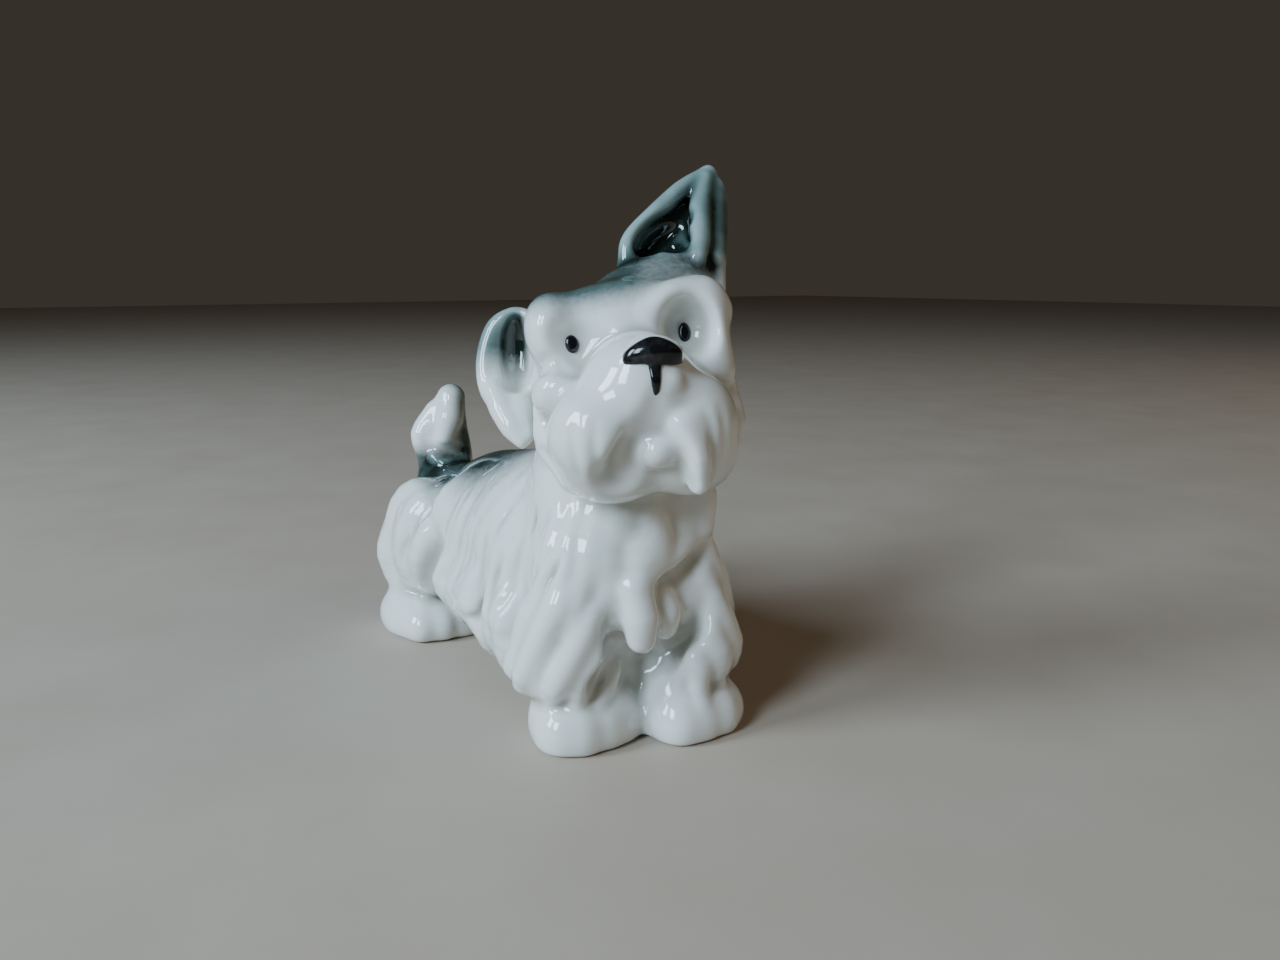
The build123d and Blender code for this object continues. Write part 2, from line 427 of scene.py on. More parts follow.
def comb_arm(side, shift, rise):
    """Locks that end in a fringe over the paw; shift is how far the paw is moved along the body."""
    for path in (
        ((5.2, -28.8, 19.5), (6.6, -28.2, 14.5), (8.4, -26.8, 9.8), (9.6, -25.2, 6.2)),
        ((6.6, -28.6, 23.0), (8.8, -27.4, 17.0), (11.0, -25.0, 11.0), (12.0, -22.6, 6.2)),
        ((9.6, -26.4, 24.0), (11.8, -24.0, 18.0), (13.4, -21.4, 12.0), (14.0, -18.6, 6.6)),
        ((11.6, -22.0, 22.0), (13.0, -19.4, 16.5), (14.2, -17.0, 11.5), (14.0, -15.0, 7.0)),
    ):
        path = [(x - 0.06 * max(z - 14, 0), y + shift * min(1, (30 - z) / 22), z) for x, y, z in path]
        lock(on_body(side, *path), (1.1, 2.0, 2.2, 1.0), rise, blend=0.8)


def comb_marks(side):
    """Fine marks all over the coat."""
    for y, z in zip(np.tile(np.arange(-25.0, 13.0, 3.4), 2), rng.uniform(14, 31, 24)):
        y, long = y + rng.uniform(-1.4, 1.4), rng.uniform(3.5, 7.0)
        path = [(10.5, y, z), (11.4, y + 0.16 * long, z - 0.5 * long), (11.6, y + 0.36 * long, z - long)]
        furrow(on_body(side, *path), (0.3, 0.55, 0.3), depth=rng.uniform(0.22, 0.36), blend=0.4)
    for y, z in zip((18.5, 22.0, 25.5, 29.0), rng.uniform(18, 24, 4)):
        path = on_body(side, (9.0, y, z), (11.4, y + 1.0, z - 3.5), (12.4, y + 1.8, z - 7.5))
        furrow(path, (0.3, 0.6, 0.3), depth=0.3, blend=0.5)


base = clay.copy()
for side in (-1, 1):
    comb_flank(side)
    comb_thigh(side)
    comb_shoulder(side)
ARM_Y = -20.8                                   # the paw's place that the arm's locks are given for
comb_arm(-1, FORELEG_Y[-1] - ARM_Y, rise=1.1)
comb_arm(1, FORELEG_Y[1] - ARM_Y, rise=0.6)
for side in (-1, 1):
    comb_marks(side)

# ---- bib -----------------------------------------------------------------------------------


def bib_lock(points, radii, rise, blend):
    """A lock on the chest; positive x is the dog's left."""
    lock(on_body(1, *points), radii, rise, blend)


def bib_furrow(points, radii, depth, blend):
    """A furrow in the chest."""
    furrow(on_body(1, *points), radii, depth, blend)


# The recess between the arms, under the bib.
bib_furrow([(-2.6, -29, 15.0), (-4.4, -27.5, 11.5), (-6.2, -25.6, 8.0)], (1.2, 1.9, 1.4), 1.3, 1.4)
bib_furrow([(2.6, -30, 13.6), (0.6, -27.5, 10.5), (-0.4, -25.6, 7.0)], (1.2, 1.9, 1.4), 1.2, 1.4)
arch = [(-6.4, -28.6, 16.5), (-3.6, -26.6, 11.6), (1.2, -26.6, 10.8), (4.4, -29.4, 14.0), (5.6, -31.0, 18.6)]
clay.cut(Limb(on_body(1, *arch), (1.0, 2.2, 2.4, 1.5, 0.9)), 1.6)
clay.cut(Egg((MID - 5.9, -28.0, 8.4), (3.3, 3.6, 3.2)), 1.4)

# Locks that meet in a point between the arms, under a wider ruff.
base = clay.copy()
long_lock = [(-4.8, -27, 31), (-6.6, -29, 25), (-5.4, -31, 20.0), (-3.0, -31, 14.6)]
bib_lock(long_lock, (2.0, 2.8, 2.8, 1.8), 0.9, 1.8)
bib_lock([(-2.4, -29, 27), (-3.0, -31, 23), (-3.0, -31.4, 19.6)], (1.8, 2.4, 2.0), 1.4, 1.4)
bib_lock([(5.6, -27, 31), (5.4, -30, 26.5), (1.2, -31.4, 22.0)], (2.0, 2.8, 2.0), 1.1, 1.4)
bib_lock([(0.6, -29, 30), (0.2, -31, 26.5), (-1.6, -31.4, 22.0)], (1.8, 2.6, 2.0), 1.0, 1.2)
bib_lock([(8.4, -24, 32), (8.8, -27, 29), (7.4, -29, 25.6)], (1.6, 2.2, 1.3), 0.7, 1.0)
under_ruff = [(-1.6, -32, 20.2), (1.8, -32, 20.4), (5.4, -30.5, 22.6), (8.8, -28, 25.6)]
bib_furrow(under_ruff, (0.8, 1.4, 1.4, 0.6), 1.2, 1.3)
body_limb([(8.2, -24.4, 33), (8.4, -26.6, 30.4), (7.8, -27.6, 27.0)], (1.5, 1.8, 1.2), 1.4)
body_egg(6.8, -24.2, 29.4, (3.2, 3.4, 4.2), 2.4)

# The lobe that hangs in front of the recess, its neighbour, and two strands beside it.
body_limb([(-3.6, -29.0, 21), (-3.1, -29.6, 17.6), (-2.8, -29.2, 14.8)], (1.9, 2.2, 1.9), 1.2)
body_limb([(0.4, -27.4, 19.4), (1.0, -28.6, 17.2), (1.4, -28.2, 15.0)], (1.8, 2.1, 1.6), 1.1)
bib_lock([(-1.6, -25, 10.6), (-3.8, -25.8, 8.8), (-6.2, -26.8, 7.0)], (0.8, 1.1, 0.9), 0.9, 0.5)
bib_lock([(3.2, -31, 13.2), (4.2, -32, 9.6), (5.0, -33, 6.4)], (1.3, 1.7, 1.3), 1.0, 0.7)

# ---- tail ----------------------------------------------------------------------------------

body_limb([(0, 34.6, 22), (0.6, 34.6, 27.5), (0.6, 34.8, 32.5), (1.4, 33.8, 37.2)], (5.0, 4.3, 3.7, 2.4), 1.8)
body_limb([(-2.4, 35.4, 26.4), (-2.9, 35.8, 31.0), (-1.2, 35.2, 35.0)], (1.8, 2.3, 1.6), 0.9)
body_limb([(1.4, 32.6, 37.4), (0.2, 31.8, 34), (-1.0, 31.6, 30.8)], (1.4, 2.1, 1.5), 0.8)
body_limb([(-2.2, 32.4, 27.8), (-0.8, 31.2, 26.4), (1.6, 31.0, 26.6)], (1.3, 1.9, 1.5), 0.8)
dent = on_body(1, (-4.2, 33.0, 29.6), (-1.6, 30.4, 28.6), (1.8, 30.2, 28.9))
clay.cut(Limb(dent, (0.6, 1.0, 0.5)), 0.9)

# ---- head ----------------------------------------------------------------------------------


def head_egg(x, y, z, radii, blend, tilt=np.eye(3)):
    """Adds an egg given in the head's frame."""
    clay.add(Egg(head((x, y, z)), radii, HEAD_TURN @ tilt), blend)


def head_hollow(x, y, z, radii, blend, tilt=np.eye(3)):
    """Takes away an egg given in the head's frame."""
    clay.cut(Egg(head((x, y, z)), radii, HEAD_TURN @ tilt), blend)


def head_limb(points, radii, blend):
    """Adds a limb given in the head's frame."""
    clay.add(Limb(head(*points), radii), blend)


def head_furrow(points, radii, blend):
    """Takes away a limb given in the head's frame."""
    clay.cut(Limb(head(*points), radii), blend)


head_egg(0, 1.6, 2.2, (11.2, 10.4, 10.0), 2.5)                                  # cranium
head_egg(0, -1.0, -5.0, (10.8, 8.6, 8.0), 3.0)                                  # jaw
head_limb(((-7.2, -3.4, 6.2), (0, -4.4, 6.6), (7.2, -3.8, 5.8)), (4.2, 4.2, 4.3), 2.4)    # brow bar
head_egg(4.6, 0.6, 10.6, (7.4, 5.0, 4.2), 2.6)                                  # root of the ear
for side in (-1, 1):
    head_egg(side * 8.9, -4.8, 5.4, (3.1, 4.4, 4.6), 1.8, turn("Y", side * 8))  # brow pads
head_egg(-8.9, -6.0, -1.9, (3.3, 3.8, 3.3), 1.4)                                # cheeks
head_egg(8.4, -5.0, -0.4, (3.5, 4.0, 4.2), 2.4)
head_hollow(-6.2, -10.6, 3.6, (3.7, 3.2, 3.2), 1.8)                             # eye sockets
brow_rim = ((2.4, -7.8, 5.6), (5.2, -7.8, 7.8), (8.6, -6.8, 8.0), (10.9, -5.2, 6.2))
head_limb(brow_rim, (1.2, 1.6, 1.7, 1.2), 1.6)
head_hollow(6.8, -10.4, 3.6, (3.5, 5.2, 3.8), 1.1, turn("Y", -24))
for side in (-1, 1):                                                            # cheek fur
    tuft = ((side * 10.6, -3.0, -2.5), (side * 10.4, -3.4, -7), (side * 9.0, -4.4, -11.6))
    head_limb(tuft, (1.6, 2.2, 1.2), 0.9)

head_egg(-0.1, -8.8, -3.3, (6.8, 7.6, 6.8), 0.6)                                # snout
head_egg(-5.0, -8.8, -7.4, (6.1, 6.6, 5.9), 1.6)                                # moustache
head_egg(5.1, -8.4, -7.2, (5.4, 6.2, 6.0), 1.4)
head_egg(-3.6, -5.8, -10.9, (6.2, 5.4, 4.3), 2.0)                               # beard
head_egg(5.0, -5.8, -10.9, (5.4, 5.4, 4.4), 2.0)
head_limb(((3.6, -13.2, -8.4), (4.5, -12.8, -11.8), (4.9, -10.6, -14.4)), (1.9, 1.8, 1.4), 1.0)
mouth = ((1.0, -16.9, -4.8), (0.6, -16.4, -7.4), (-1.6, -14.6, -11.0), (-4.2, -12.0, -14.2))
head_furrow(mouth, (0.4, 1.5, 2.6, 2.8), 1.3)
head_furrow(((0.8, -16.0, -8.4), (2.2, -14.4, -11.8), (2.6, -12.4, -14.8)), (0.8, 1.6, 1.8), 1.2)
head_egg(0.7, -11.8, -10.6, (2.0, 2.0, 1.8), 1.2)                               # lower lip
head_egg(2.7, -14.8, -3.7, (1.3, 1.2, 1.3), 0.8)                                # nostril
head_egg(1.2, -15.0, -0.5, (3.4, 2.0, 1.6), 0.7)                                # nose
head_egg(1.2, -14.6, 0.3, (2.2, 2.0, 1.3), 0.7)

# Creases of the face: round the snout, then the right cheek from top to bottom, then the left cheek.
snout_line = head((-8.2, -9, 0.2), (-6.5, -10, 1.2), (-4.9, -10.8, 2.3), (-2.8, -11.5, 3.4), (-0.4, -12, 3.8),
                  (2.6, -12, 3.3), (4.6, -11.4, 2.5), (5.8, -11, 0.9), (6.9, -10.6, -0.9), (8.6, -10, -2.0))
furrow(snout_line, (0.3, 0.7, 0.7, 0.6, 0.5, 0.6, 0.7, 0.8, 0.7, 0.3), 0.5, 0.9)
crease = head((-12.0, -4, 2.3), (-10.4, -7, 2.0), (-8.6, -8.8, 1.7), (-7.0, -9.8, 1.5))
furrow(crease, (0.3, 0.5, 0.5, 0.3), 0.3, 0.6)
crease = head((-12.2, -4, -1.2), (-11.4, -6, -0.2), (-10.2, -7.6, 0.4), (-8.4, -9, 0.6), (-6.8, -10, 0.4))
furrow(crease, (0.5, 0.7, 0.7, 0.7, 0.4), 0.5, 1.0)
crease = head((-12.2, -4, -4.0), (-10.8, -7, -4.9), (-9.2, -9, -4.8), (-7.4, -11, -3.4))
furrow(crease, (0.5, 0.8, 0.8, 0.4), 0.6, 1.2)
crease = head((-11.6, -3, -6.5), (-10.9, -5, -8.6), (-9.9, -6, -11.0), (-8.6, -6, -13.2))
furrow(crease, (0.4, 0.6, 0.6, 0.3), 0.5, 0.6)
furrow(head((12.0, -4, -3.2), (10.4, -8, -3.4), (9.0, -9.6, -2.6)), (0.4, 0.6, 0.3), 0.45, 0.9)
for x in (-8.0, -6.2, -4.2, 6.4, 8.2):                                          # combed moustache
    furrow(head((0.9 * x, -13, -7.0), (x, -13, -9.5), (1.02 * x, -11.5, -12.5)), (0.2, 0.5, 0.3), 0.2, 0.8)

# ---- pricked ear ---------------------------------------------------------------------------

head_egg(9.2, 4.0, 17.6, (5.2, 1.9, 9.0), 0.8, turn("Y", 26))                   # back of the cup
head_egg(5.4, 3.8, 16.2, (4.6, 1.9, 5.4), 1.0, turn("Y", 30))
head_egg(7.0, 1.8, 13.6, (5.6, 3.8, 3.9), 1.2, turn("Y", 4))                    # floor of the cup
inner_rim = ((1.2, 0.6, 11.6), (1.6, 0.2, 15.2), (2.3, 0.2, 17.6), (5.2, 0.6, 20.3), (9.6, 1.4, 23.8),
             (13.4, 2.2, 26.0))
head_limb(inner_rim, (1.5, 1.3, 1.2, 1.2, 1.2, 1.0), 0.7)
outer_rim = ((13.6, 2.3, 25.8), (14.7, 2.4, 22.6), (14.1, 2.0, 18.8), (12.9, 1.6, 14.6), (11.8, 0.8, 10.5))
head_limb(outer_rim, (1.0, 0.9, 1.0, 1.2, 1.6), 0.7)
head_limb(((14.2, 2.0, 24.0), (13.2, 1.4, 19.5), (12.2, 0.8, 14.5)), (1.0, 1.5, 1.7), 0.6)
fold = ((12.8, 1.4, 24.8), (11.6, 0.4, 21.4), (10.9, -0.5, 18.6), (10.4, -1.1, 16.0), (9.8, -1.5, 13.6))
head_limb(fold, (1.1, 1.4, 1.5, 1.5, 1.2), 0.6)
head_hollow(6.3, -1.2, 18.0, (4.5, 4.8, 2.2), 0.6, turn("Y", -33))
head_hollow(7.5, -1.0, 16.7, (2.0, 3.9, 1.9), 0.8)

# ---- folded ear ----------------------------------------------------------------------------

head_egg(-14.0, 3.8, 3.4, (3.9, 2.8, 7.6), 1.0)
head_egg(-12.0, 3.0, 5.0, (3.0, 3.4, 6.0), 1.2)
flap_rim = ((-11.6, 1.0, 9.2), (-13.2, 1.4, 9.6), (-15.4, 2.2, 8.8), (-16.8, 2.7, 6.2), (-17.3, 2.9, 3.6),
            (-17.0, 2.7, 1.2), (-15.9, 2.0, -1.4))
head_limb(flap_rim, (1.2, 1.4, 1.4, 1.4, 1.4, 1.5, 1.3), 0.6)
flap_edge = ((-16.6, 2.0, 1.0), (-15.9, 1.2, -1.4), (-15.0, 0.2, -4.0), (-14.0, -0.6, -6.2))
head_limb(flap_edge, (1.4, 1.7, 1.5, 0.8), 0.5)
head_limb(((-13.8, 1.8, 0.0), (-13.6, 0.8, -2.4), (-13.2, -0.4, -5.4)), (1.6, 1.6, 0.9), 0.6)
head_hollow(-13.5, 0.8, 5.0, (2.2, 2.9, 4.9), 0.9, turn("Y", 6))

# ---- skin ----------------------------------------------------------------------------------

SOLE_ROUND = 0.7                # how softly the paws turn into their flat soles
BROAD = 1.1                     # width in millimetres over which hollows are felt, for the pooled glaze and painted shade in them

clay.blur(1)
floor_height = clay.axes[2][None, None, :]
clay.value = -soft_min(-clay.value, floor_height, SOLE_ROUND)
clay.mend()
broad = clay.copy()
broad.blur(round((BROAD / STEP) ** 2))
verts, quads = clay.skin()
for _ in range(2):
    verts = verts - 0.8 * clay.sample(verts)[:, None] * clay.slope(verts)
verts[:, 2] = np.maximum(verts[:, 2], 0)


def block(name, low, high, origin=(0, 0, 0), rotation=np.eye(3)):
    """A cutting block with its corners in the part's frame, or in a frame with its own origin and turn."""
    corners = [(x, y, z) for x in (low[0], high[0]) for y in (low[1], high[1]) for z in (low[2], high[2])]
    corners = np.array(origin) + np.array(corners, float) @ np.array(rotation).T
    faces = [(0, 1, 3, 2), (4, 6, 7, 5), (0, 4, 5, 1), (2, 3, 7, 6), (0, 2, 6, 4), (1, 5, 7, 3)]
    data = bpy.data.meshes.new(name)
    data.from_pydata((corners * MM).tolist(), [], faces)
    obj = bpy.data.objects.new(name, data)
    bpy.context.collection.objects.link(obj)
    return obj


def carve(obj, cutter, operation):
    """The part of a piece inside a block (INTERSECT) or outside it (DIFFERENCE)."""
    bpy.context.view_layer.update()
    modifier = obj.modifiers.new("cut", "BOOLEAN")
    modifier.solver = "MANIFOLD"
    modifier.operation = operation
    modifier.object = cutter
    bpy.context.view_layer.update()
    data = bpy.data.meshes.new_from_object(obj.evaluated_get(bpy.context.evaluated_depsgraph_get()))
    obj.modifiers.remove(modifier)
    return data


def split(data, name, rest_name, cutter):
    """Cuts a closed mesh in two: what is inside a block, and the rest."""
    holder = bpy.data.objects.new(name, data)
    bpy.context.collection.objects.link(holder)
    inner = carve(holder, cutter, "INTERSECT")
    outer = carve(holder, cutter, "DIFFERENCE")
    bpy.data.objects.remove(holder)
    bpy.data.objects.remove(cutter)
    inner.name, outer.name = name, rest_name
    return inner, outer


whole = bpy.data.meshes.new("whole")
whole.from_pydata((verts * MM).tolist(), [], quads.tolist())
whole.update()

BIG = 90                        # beyond the object on every side
BELOW = -5                      # under the soles
TAIL_ROOT = 27.0                # height of the tail's seam
TAIL_FRONT = 22
FORELEG_TOP = 10.5              # heights of the legs' seams
FORELEG_BACK = -11.5
HINDLEG_TOP = 8.5
HINDLEG_FRONT = 12.5
NECK = (MID, -38, 30.5)         # a point of the seam under the beard
NECK_TURN = turn("X", 11.3)
MUZZLE = head((0, -11.5, 3.6))[0]           # a point of the seam behind the moustache
MUZZLE_TURN = HEAD_TURN @ turn("X", -24.6)
EAR_LOW = (-3, -BIG, 12.4)      # corners of the ears' blocks, in the head's frame
FLAP_LOW = (-BIG, -2.2, -12)
FLAP_HIGH = (-11.4, BIG, 12)

shell = {}
cutter = block("neck_cut", (-BIG, -BIG, 0), (BIG, BIG, BIG), NECK, NECK_TURN)
upper, lower = split(whole, "upper", "lower", cutter)
cutter = block("face_cut", (-BIG, -BIG, -BIG), (BIG, 0, BIG), MUZZLE, MUZZLE_TURN)
shell["muzzle"], upper = split(upper, "muzzle", "upper", cutter)
cutter = block("ear_cut", EAR_LOW, (BIG, BIG, BIG), HEAD, HEAD_TURN)
shell["ear_pricked"], upper = split(upper, "ear_pricked", "upper", cutter)
cutter = block("flap_cut", FLAP_LOW, FLAP_HIGH, HEAD, HEAD_TURN)
shell["ear_folded"], shell["head"] = split(upper, "ear_folded", "head", cutter)
for name, low, high in (
    ("tail", (-BIG, TAIL_FRONT, TAIL_ROOT), (BIG, BIG, BIG)),
    ("foreleg_right", (-BIG, -BIG, BELOW), (MID, FORELEG_BACK, FORELEG_TOP)),
    ("foreleg_left", (MID, -BIG, BELOW), (BIG, FORELEG_BACK, FORELEG_TOP)),
    ("hindleg_right", (-BIG, HINDLEG_FRONT, BELOW), (MID, BIG, HINDLEG_TOP)),
    ("hindleg_left", (MID, HINDLEG_FRONT, BELOW), (BIG, BIG, HINDLEG_TOP)),
):
    shell[name], lower = split(lower, name, "lower", block(name + "_cut", low, high))
shell["torso"] = lower

# ---- enamel --------------------------------------------------------------------------------

PAD_RINGS = 10                  # rings of faces from a pad's middle to its outline
PAD_START = -22.0               # the pads start in front of the face and move back to the skin in steps
PAD_STEPS = 60
PAD_DEPTH = 0.35                # how far a pad reaches under the skin
OVAL_POINTS = 32


def pad(name, outline, centre, height):
    """A domed pad of enamel laid on the skin inside an outline: x and z in the head's frame."""
    outline = np.array(outline, float)
    middle = np.array(centre, float)
    count = len(outline)
    points, lift = [middle], [1.0]
    for ring in range(1, PAD_RINGS + 1):
        t = ring / PAD_RINGS
        for corner in outline:
            points.append(middle + (corner - middle) * t)
            lift.append(math.sqrt(max(0.0, 1 - t**4)))
    points, lift = np.array(points), np.array(lift)
    place = head(*np.stack([points[:, 0], np.full(len(points), PAD_START), points[:, 1]], 1))
    inward = HEAD_TURN @ np.array([0, 1.0, 0])
    for _ in range(PAD_STEPS):
        place = place + np.minimum(clay.sample(place), 0.8)[:, None] * 0.9 * inward
    normal = clay.slope(place, 0.5)
    top = place + normal * (lift * height)[:, None]
    under = place - normal * PAD_DEPTH
    faces = []
    for offset, order in ((0, 1), (len(points), -1)):
        for i in range(count):
            j = (i + 1) % count
            faces.append([offset, offset + 1 + i, offset + 1 + j][::order])
            for ring in range(1, PAD_RINGS):
                a, b = offset + 1 + (ring - 1) * count, offset + 1 + ring * count
                faces.append([a + i, b + i, b + j, a + j][::order])
    rim = 1 + (PAD_RINGS - 1) * count
    for i in range(count):
        j = (i + 1) % count
        faces.append([rim + i, len(points) + rim + i, len(points) + rim + j, rim + j])
    data = bpy.data.meshes.new(name)
    data.from_pydata((np.vstack([top, under]) * MM).tolist(), [], faces)
    return data


def oval(centre, half_width, half_height, tilt=0.0):
    """The outline of an ellipse, tilted by some degrees."""
    a = np.linspace(0, 2 * np.pi, OVAL_POINTS, endpoint=False)
    u, v = half_width * np.cos(a), half_height * np.sin(a)
    t = math.radians(tilt)
    x = centre[0] + u * math.cos(t) - v * math.sin(t)
    z = centre[1] + u * math.sin(t) + v * math.cos(t)
    return np.stack([x, z], 1)


eye_right, eye_left, nose_middle = (-6.9, 3.4), (6.4, 3.8), (1.2, -1.5)
nose_corners = [
    (-2.2, -1.0), (-1.9, -0.2), (-0.6, 0.6), (1.2, 1.1), (2.9, 0.5), (4.2, -0.6), (4.4, -1.6), (3.4, -2.1),
    (2.0, -2.1), (1.7, -2.5), (1.5, -3.8), (1.2, -4.9), (0.7, -5.1), (0.5, -4.2), (0.4, -2.5), (0.2, -1.9),
    (-1.2, -1.7), (-2.0, -1.5), (-2.2, -1.0),
]
nose_outline = smooth_path(nose_corners, 5 * len(nose_corners) - 4)[:-1]
shell["eye_right"] = pad("eye_right", oval(eye_right, 0.78, 1.05), eye_right, 0.45)
shell["eye_left"] = pad("eye_left", oval(eye_left, 0.72, 1.15, -6), eye_left, 0.45)
shell["nose"] = pad("nose", nose_outline, nose_middle, 0.3)

# ---- materials -----------------------------------------------------------------------------

BLACK, WHITE = (0, 0, 0), (1, 1, 1)


def new_material(name):
    """A material with nodes, its node tree and its shader."""
    material = bpy.data.materials.new(name)
    material.use_nodes = True
    return material, material.node_tree, material.node_tree.nodes["Principled BSDF"]


def feed(tree, socket, value):
    """Gives an input its value: a plain one, or another node's output."""
    if isinstance(value, bpy.types.NodeSocket):
        tree.links.new(value, socket)
    else:
        socket.default_value = value


def attribute(tree, name):
    """A number stored at the mesh's vertices."""
    made = tree.nodes.new("ShaderNodeAttribute")
    made.attribute_name = name
    return made.outputs["Fac"]


def blend_colours(tree, factor, a, b):
    """Mixes two colours; each is a socket or a plain colour."""
    made = tree.nodes.new("ShaderNodeMix")
    made.data_type = "RGBA"
    for socket, value in ((made.inputs[0], factor), (made.inputs[6], a), (made.inputs[7], b)):
        feed(tree, socket, value)
    return made.outputs[2]


def ramp(tree, value, *stops):
    """A colour that follows a number, through stops of (position, colour)."""
    made = tree.nodes.new("ShaderNodeValToRGB")
    elements = made.color_ramp.elements
    while len(elements) < len(stops):
        elements.new(0.5)
    for element, (position, colour) in zip(elements, stops):
        element.position = position
        element.color = (*colour, 1)
    tree.links.new(value, made.inputs[0])
    return made.outputs[0]


def calculate(tree, operation, a, b):
    """One step of arithmetic on sockets or plain numbers."""
    made = tree.nodes.new("ShaderNodeMath")
    made.operation = operation
    for socket, value in zip(made.inputs, (a, b)):
        feed(tree, socket, value)
    return made.outputs[0]


def noise(tree, scale, detail=3.0):
    """Noise from 0 to 1 that is fixed to the object; scale is in cells per metre."""
    place = tree.nodes.new("ShaderNodeTexCoord")
    made = tree.nodes.new("ShaderNodeTexNoise")
    made.inputs["Scale"].default_value = scale
    made.inputs["Detail"].default_value = detail
    made.inputs["Roughness"].default_value = 0.55
    tree.links.new(place.outputs["Object"], made.inputs["Vector"])
    return made.outputs["Fac"]


def unsettle(tree, value, scale, detail, amount):
    """A number made uneven by noise, by up to half the amount either way."""
    centred = calculate(tree, "SUBTRACT", noise(tree, scale, detail), 0.5)
    return calculate(tree, "ADD", value, calculate(tree, "MULTIPLY", centred, amount))


def bump(tree, shader, height, strength, distance):
    """Makes the surface uneven without moving it."""
    made = tree.nodes.new("ShaderNodeBump")
    made.inputs["Strength"].default_value = strength
    made.inputs["Distance"].default_value = distance
    tree.links.new(height, made.inputs["Height"])
    tree.links.new(made.outputs[0], shader.inputs["Normal"])


def glaze(name):
    """Clear glaze over white porcelain, with sprayed grey-green under it where "spray" says; hollows darken
    partly with pooled glaze and partly with painted shade.
    """
    material, tree, shader = new_material(name)
    hollow = attribute(tree, "hollow")
    mottle = ramp(tree, noise(tree, 90), (0.35, BLACK), (0.7, WHITE))
    body = blend_colours(tree, mottle, (0.74, 0.76, 0.71, 1), (0.80, 0.81, 0.78, 1))
    # Painted shade: hollows turn olive grey, partly real glaze pooling and partly shade painted into the
    # colour.
    pooled_glaze_and_shade = ramp(tree, hollow, (0.52, BLACK), (0.88, WHITE))
    body = blend_colours(tree, pooled_glaze_and_shade, body, (0.34, 0.335, 0.27, 1))
    mist = unsettle(tree, attribute(tree, "spray"), 1500, 2, 0.22)
    mist = unsettle(tree, mist, 220, 3, 0.25)
    # Painted shade: the grey-green darkens to near black in hollows, partly from thicker spray under the
    # glaze and partly from shade painted into the colour.
    spray_depth_and_shade = unsettle(tree, hollow, 170, 4, 0.55)
    thin, middling, thick_spray_and_shade = (0.27, 0.37, 0.36), (0.085, 0.135, 0.124), (0.008, 0.017, 0.014)
    green = ramp(tree, spray_depth_and_shade, (0.06, thin), (0.36, middling), (0.60, thick_spray_and_shade))
    colour = blend_colours(tree, ramp(tree, mist, (0.10, BLACK), (0.9, WHITE)), body, green)
    speck = ramp(tree, noise(tree, 330, 1), (0.815, BLACK), (0.83, WHITE))
    colour = blend_colours(tree, speck, colour, (0.12, 0.10, 0.07, 1))
    tree.links.new(colour, shader.inputs["Base Color"])
    bump(tree, shader, noise(tree, 260, 2), 0.12, 0.0002)
    for label, value in (
        ("Roughness", 0.07),
        ("IOR", 1.52),
        ("Coat Weight", 0.25),
        ("Coat Roughness", 0.03),
        ("Subsurface Weight", 0.06),
        ("Subsurface Radius", (1.0, 0.9, 0.7)),
        ("Subsurface Scale", 0.0012),
    ):
        shader.inputs[label].default_value = value
    return material


def black_enamel():
    """Glossy black enamel with a slightly uneven surface."""
    material, tree, shader = new_material("black_enamel")
    worn = ramp(tree, noise(tree, 700, 4), (0.45, (0.006, 0.006, 0.007)), (0.72, (0.03, 0.03, 0.03)))
    tree.links.new(worn, shader.inputs["Base Color"])
    bump(tree, shader, noise(tree, 420, 2), 0.35, 0.0003)
    shader.inputs["Roughness"].default_value = 0.14
    return material


white_glaze, green_glaze, enamel = glaze("white_glaze"), glaze("green_glaze"), black_enamel()

# ---- pieces --------------------------------------------------------------------------------

PADS = ("eye_right", "eye_left", "nose")
CUT_FACE = -0.35                # a face whose middle is deeper than this lies on a seam


def smooth(low, high, value):
    """0 at low and 1 at high, with a soft start and end."""
    t = np.clip((value - low) / (high - low), 0, 1)
    return t * t * (3 - 2 * t)


def spray_on_head(points):
    """Grey-green on the crown, the pricked ear, the nape and the top of the folded ear."""
    x, y, z = ((points - HEAD) @ HEAD_TURN).T
    above = smooth(-2, 2, points[:, 2] - 35 + 0.2 * (points[:, 1] + 15)) * smooth(8, 2, points[:, 1])
    crown = smooth(5.2, 10.4, z - 0.22 * np.maximum(x, 0) - 0.06 * np.maximum(-y - 6, 0))
    crown *= 1 - 0.25 * smooth(-1, 4, x) * smooth(1, -4, y)
    tall = smooth(11.5, 15.5, z) * smooth(-3, 0, x)
    nape = smooth(2.0, 7.0, y) * smooth(-2, 5, z)
    fold = smooth(1.5, 8.0, z + 0.3 * y) * smooth(-11.2, -12.8, x)
    crown *= 1 - 0.7 * np.maximum(smooth(11.5, 14.5, x), smooth(-10.6, -12.4, x))
    return np.maximum.reduce([crown, tall, nape * 0.9, fold]) * above


def spray_on_back(points):
    """Grey-green along the spine, round the tail's root and on the tail's left side."""
    x, y, z = points.T
    x = x - MID
    spine = smooth(9.8, 3.0, np.abs(x + 1.4)) * smooth(-13, 10, y) * smooth(19, 25, z)
    root = 0.9 * smooth(12.5, 1.0, np.hypot(x + 0.6, y - 31)) * smooth(18, 24, z)
    tail = smooth(25, 30, z) * smooth(23, 28, y)
    side = smooth(-3.0, 3.4, x - 0.12 * (z - 33) + 0.3 * (y - 33))
    low = smooth(31.5, 25.5, z)
    return np.maximum(spine, root) * (1 - tail) + np.maximum(side, low) * tail


def read(collection, field, width, kind=float):
    """A field of every item of a mesh collection, as rows of the given width."""
    values = np.empty(len(collection) * width, kind)
    collection.foreach_get(field, values)
    return values.reshape(-1, width) if width > 1 else values


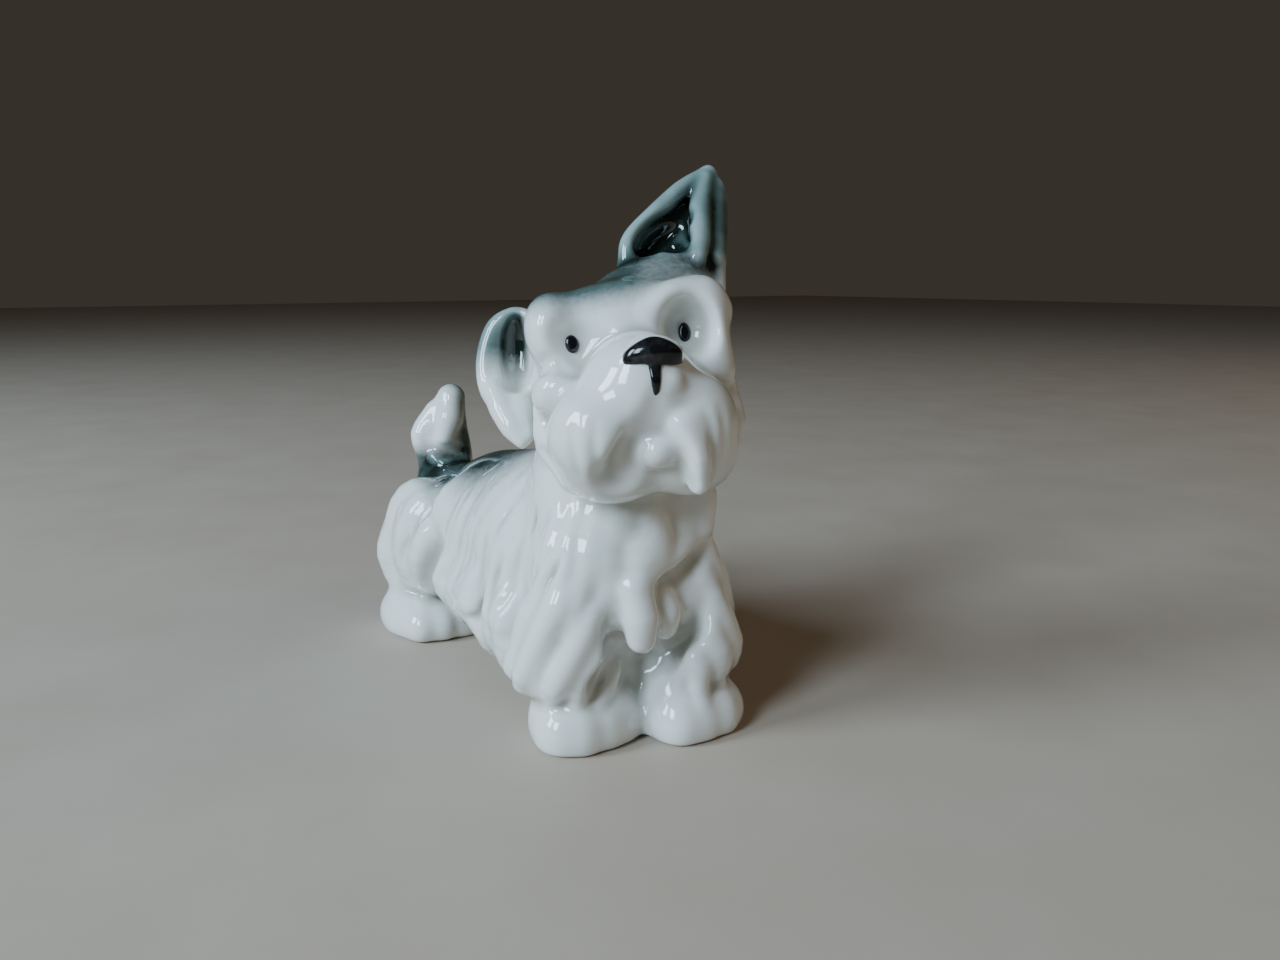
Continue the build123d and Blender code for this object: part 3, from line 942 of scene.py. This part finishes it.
def write_attributes(data, points):
    """Stores how much is sprayed on and how hollow the skin is at each vertex."""
    spray = np.clip(np.maximum(spray_on_head(points), spray_on_back(points)), 0, 1)
    hollow = np.clip(0.5 - 1.3 * broad.sample(points), 0, 1)
    for label, value in (("spray", spray), ("hollow", hollow)):
        layer = data.attributes.new(label, "FLOAT", "POINT")
        layer.data.foreach_set("value", value.astype(np.float32))


def write_normals(data, points):
    """Shades the skin as smoothly as the clay, and the faces on the seams as flat."""
    loops = read(data.loops, "vertex_index", 1, int)
    total = read(data.polygons, "loop_total", 1, int)
    face_normal = np.repeat(read(data.polygons, "normal", 3), total, 0)
    centre = read(data.polygons, "center", 3) / MM
    inside = np.repeat(clay.sample(centre) < CUT_FACE, total)
    skin_normal = clay.slope(points)[loops]
    agree = (skin_normal * face_normal).sum(1) > 0.3
    normal = np.where((inside | ~agree)[:, None], face_normal, skin_normal)
    data.normals_split_custom_set(normal.tolist())


def finish(name, data, material):
    """Puts a piece in the scene in the place of its casting, with its glaze or enamel."""
    obj = bpy.data.objects.new(name + ("_pad" if name in PADS else "_skin"), data)
    bpy.context.collection.objects.link(obj)
    data.materials.clear()
    data.materials.append(material)
    data.update()
    data.polygons.foreach_set("use_smooth", [True] * len(data.polygons))
    if name not in PADS:
        points = read(data.vertices, "co", 3) / MM
        write_attributes(data, points)
        write_normals(data, points)
    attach(obj, "root")
    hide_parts(name)


for name, data in shell.items():
    if name in PADS:
        finish(name, data, enamel)
    elif name == "ear_pricked":
        finish(name, data, green_glaze)
    else:
        finish(name, data, white_glaze)

# ---- stage ---------------------------------------------------------------------------------

ground, tree, shader = new_material("ground")
paper = ramp(tree, noise(tree, 40, 5), (0.3, (0.45, 0.37, 0.29)), (0.7, (0.49, 0.41, 0.33)))
tree.links.new(paper, shader.inputs["Base Color"])
shader.inputs["Roughness"].default_value = 0.7
floor_data = bpy.data.meshes.new("floor")
floor_data.from_pydata([(-2, -2, 0), (2, -2, 0), (2, 2, 0), (-2, 2, 0)], [], [(0, 1, 2, 3)])
floor_data.materials.append(ground)
floor = bpy.data.objects.new("floor", floor_data)
bpy.context.collection.objects.link(floor)

world = bpy.data.worlds.new("studio")
bpy.context.scene.world = world
world.use_nodes = True
background = world.node_tree.nodes["Background"]
background.inputs["Color"].default_value = (0.55, 0.48, 0.37, 1)
background.inputs["Strength"].default_value = 0.08

LAMP_TARGET = (0, 0, 0.03)
WINDOW_SIZE = (0.20, 0.36)
WINDOW_WATTS = 5.7
DAYLIGHT = (0.62, 0.81, 1.0)
ROOM_SIZE = (0.50, 0.40)
ROOM_WATTS = 0.9
WARM = (1.0, 0.80, 0.60)


def area_light(name, place, size, watts, colour):
    """A rectangular lamp that faces the object."""
    data = bpy.data.lights.new(name, "AREA")
    data.shape = "RECTANGLE"
    data.size, data.size_y = size
    data.energy = watts
    data.color = colour
    lamp = bpy.data.objects.new(name, data)
    bpy.context.collection.objects.link(lamp)
    lamp.location = place
    lamp.rotation_euler = (Vector(LAMP_TARGET) - Vector(place)).to_track_quat("-Z", "Y").to_euler()
    return lamp


area_light("window_near", (-0.64, -0.20, 0.42), WINDOW_SIZE, WINDOW_WATTS, DAYLIGHT)
area_light("window_far", (-0.66, 0.13, 0.38), WINDOW_SIZE, WINDOW_WATTS, DAYLIGHT)
room = area_light("room", (0.55, -0.40, 0.40), ROOM_SIZE, ROOM_WATTS, WARM)
room.visible_glossy = False                     # its reflection doesn't show in the glaze

# ---- camera --------------------------------------------------------------------------------

CAMERA_PLACE = (-0.0647, -0.1191, 0.0576)
CAMERA_PITCH = -12.0                            # degrees below the horizon
CAMERA_YAW = -34.8
FOCAL_LENGTH = 27.03                            # on a sensor 36 mm wide

camera_data = bpy.data.cameras.new("camera")
camera_data.sensor_width = 36
camera_data.lens = FOCAL_LENGTH
camera_data.clip_start = 0.005
camera = bpy.data.objects.new("camera", camera_data)
bpy.context.collection.objects.link(camera)
camera.location = CAMERA_PLACE
camera.rotation_euler = (math.radians(90 + CAMERA_PITCH), 0, math.radians(CAMERA_YAW))
bpy.context.scene.camera = camera
